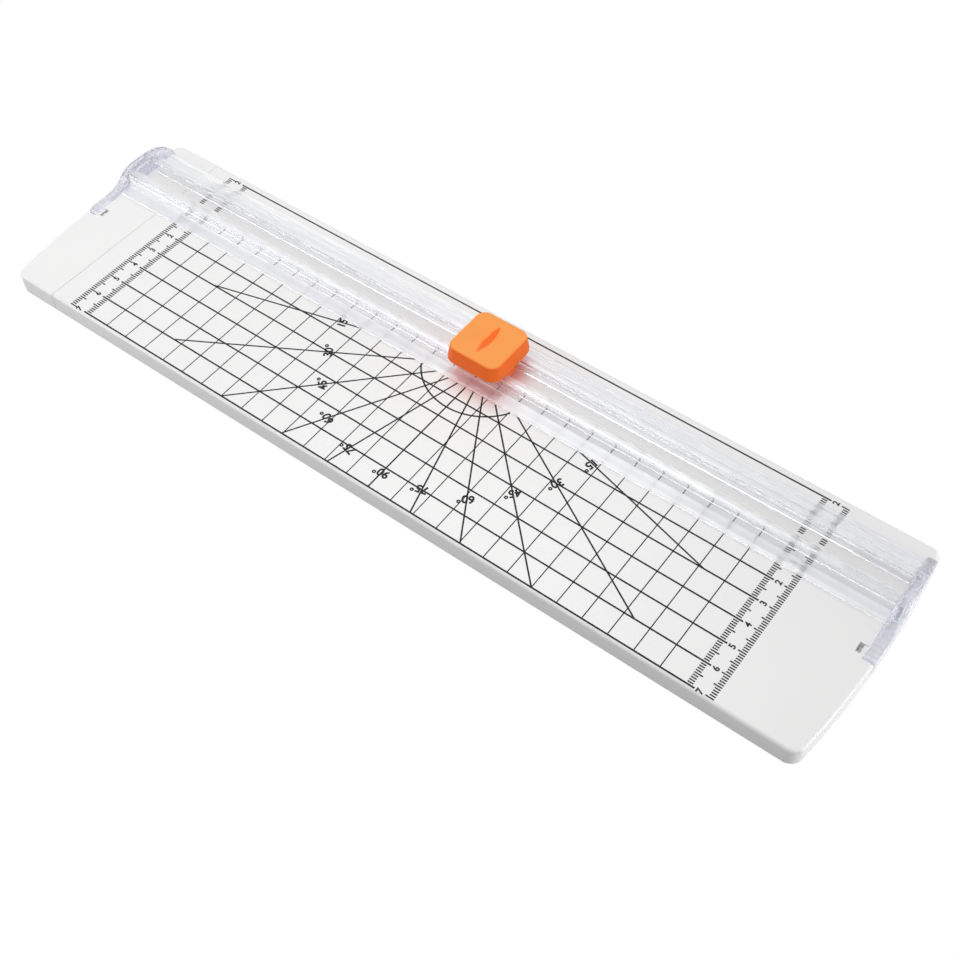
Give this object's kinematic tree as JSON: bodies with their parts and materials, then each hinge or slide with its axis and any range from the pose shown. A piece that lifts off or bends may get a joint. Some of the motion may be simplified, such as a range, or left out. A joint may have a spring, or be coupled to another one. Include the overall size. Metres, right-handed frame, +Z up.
{
  "type": "paper cutter",
  "caption": "Desk paper cutter: flat ruled base, clear rail hinged on end arms, and a sprung head with a blade that slides along the rail's slot.",
  "frame": {"origin": "on the table, under the middle of the base", "axes": "+X along the rail to the right, +Y to the rear, where the rail lies, +Z up"},
  "size_m": [0.359, 0.095, 0.0253],
  "materials": {
    "base_white": "fine satin moulded white plastic",
    "strip_cream": "soft cream plastic",
    "rail_clear": "polished clear moulded plastic",
    "carriage_orange": "moulded orange plastic",
    "cap_orange": "moulded orange plastic with soft edges",
    "holder_grey": "plain grey plastic",
    "blade_steel": "ground steel",
    "spring_steel": "drawn steel wire",
    "foot_rubber": "matt rubber"
  },
  "bodies": {
    "base": {"base_board": "base_white", "cutting_strip": "strip_cream", "foot_front_left": "foot_rubber", "foot_front_right": "foot_rubber", "foot_rear_left": "foot_rubber", "foot_rear_right": "foot_rubber"},
    "rail": {"clear_rail": "rail_clear"},
    "carriage": {"cutter_carriage": "carriage_orange", "return_spring_left": "spring_steel", "return_spring_right": "spring_steel"},
    "press": {"cutter_cap": "cap_orange", "blade_holder": "holder_grey", "blade_keeper": "holder_grey", "cutting_blade": "blade_steel"}
  },
  "joints": [
    {"name": "rail_hinge", "type": "hinge", "parent": "base", "child": "rail", "pos_m": [0, -0.0021, 0.0064], "axis": [1, 0, 0], "range_deg": [0, 60]},
    {"name": "head_slide", "type": "slide", "parent": "rail", "child": "carriage", "axis": [1, 0, 0], "range_m": [-0.1675, 0.1567]},
    {"name": "cap_press", "type": "slide", "parent": "carriage", "child": "press", "axis": [0, 0, -1], "range_m": [0, 0.0012], "stiffness_N_per_m": 600, "springref_m": -0.002, "deforming": ["return_spring_left", "return_spring_right"]}
  ]
}
